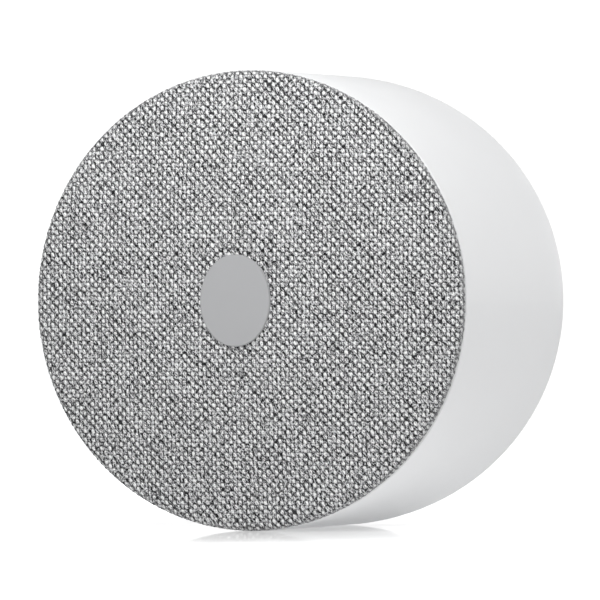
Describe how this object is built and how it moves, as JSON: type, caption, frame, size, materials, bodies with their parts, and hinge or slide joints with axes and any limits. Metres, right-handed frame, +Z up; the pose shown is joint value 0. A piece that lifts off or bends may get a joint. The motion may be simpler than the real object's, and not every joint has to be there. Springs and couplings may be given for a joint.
{
  "type": "plug-in mesh wifi node",
  "caption": "Round drum-shaped plug-in wireless node: satin white shell, cloth-covered crowned front over a loudspeaker, plain oval badge, flat rear with mains blades.",
  "frame": {"origin": "centre of the flat rear face, in the plane that lies on the wall plate", "axes": "+Y along the blades, out of the rear face and into the outlet; the cloth front faces -Y; +Z up; +X to the right as seen from the front"},
  "size_m": [0.076, 0.077, 0.076],
  "materials": {
    "cloth": "woven melange speaker cloth, plain weave",
    "white_shell": "satin moulded plastic",
    "grille_plastic": "dark moulded plastic",
    "badge_grey": "smooth satin grey plate",
    "base_plastic": "flame-retardant plastic, fine texture",
    "chassis_plastic": "black glass-filled plastic",
    "blade_nickel": "nickel-plated brass, brushed along its length",
    "spring_bronze": "phosphor bronze strip",
    "screw_steel": "zinc-plated steel",
    "board_green": "glass-epoxy board with solder mask",
    "chip_black": "moulded epoxy",
    "shield_tin": "tin-plated steel",
    "spreader_aluminium": "plain sheet",
    "pad_grey": "soft thermal pad",
    "sheet_grey": "vulcanised fibre sheet",
    "foam_black": "closed-cell foam",
    "basket_steel": "black powder coat",
    "magnet_dark": "sintered ferrite",
    "pole_steel": "zinc-plated steel",
    "cone_black": "pressed fibre and polymer cone",
    "surround_rubber": "moulded rubber",
    "spider_cloth": "resin-dipped cotton",
    "coil_copper": "enamelled copper on a thin former",
    "phenolic_brown": "phenolic strip",
    "lead_black": "flexible insulation",
    "connector_cream": "nylon",
    "antenna_tin": "tin-plated brass stamping",
    "transformer_dark": "bobbin, tape and ferrite",
    "capacitor_sleeve": "shrink sleeve on aluminium can",
    "fuse_brown": "moulded cap",
    "led_white": "moulded lens",
    "clear_plastic": "clear acrylic",
    "switch_body": "moulded switch body"
  },
  "bodies": {
    "case": {"grille_fabric": "cloth", "grille_frame": "grille_plastic", "badge": "badge_grey", "housing": "white_shell", "plug_base": "base_plastic", "plug_blade_line": "blade_nickel", "plug_blade_neutral": "blade_nickel", "plug_base_screws": "screw_steel", "blade_contacts": "spring_bronze", "power_board": "board_green", "power_board_screws": "screw_steel", "transformer": "transformer_dark", "bulk_capacitors": "capacitor_sleeve", "output_capacitor": "capacitor_sleeve", "fuse": "fuse_brown", "bridge_rectifier": "chip_black", "power_header": "connector_cream", "insulating_sheet": "sheet_grey", "heat_spreader": "spreader_aluminium", "thermal_pad": "pad_grey", "main_board": "board_green", "board_screws": "screw_steel", "wifi_chip": "chip_black", "rf_shield": "shield_tin", "audio_amplifier": "chip_black", "status_led": "led_white", "light_pipe": "clear_plastic", "antenna_left": "antenna_tin", "antenna_right": "antenna_tin", "antenna_lead_left": "lead_black", "antenna_lead_right": "lead_black", "speaker_connector": "connector_cream", "speaker_leads": "lead_black", "speaker_terminals": "phenolic_brown", "reset_switch": "switch_body", "chassis": "chassis_plastic", "chassis_screws": "screw_steel", "speaker_gasket": "foam_black", "speaker_basket": "basket_steel", "speaker_screws": "screw_steel", "speaker_yoke": "pole_steel", "speaker_magnet": "magnet_dark", "speaker_top_plate": "pole_steel", "speaker_spider": "spider_cloth", "speaker_surround": "surround_rubber"},
    "cone_assembly": {"speaker_cone": "cone_black", "dust_cap": "cone_black", "voice_coil": "coil_copper"},
    "button": {"reset_button": "white_shell", "reset_switch_plunger": "connector_cream"}
  },
  "joints": [
    {"name": "reset_press", "type": "slide", "parent": "case", "child": "button", "axis": [0, 0, 1], "range_m": [0, 0.0006], "stiffness_N_per_m": 1500, "springref_m": -0.0002},
    {"name": "cone_travel", "type": "slide", "parent": "case", "child": "cone_assembly", "axis": [0, -1, 0], "range_m": [-0.0015, 0.0015], "stiffness_N_per_m": 1500, "deforming": ["speaker_surround", "speaker_spider"]}
  ]
}
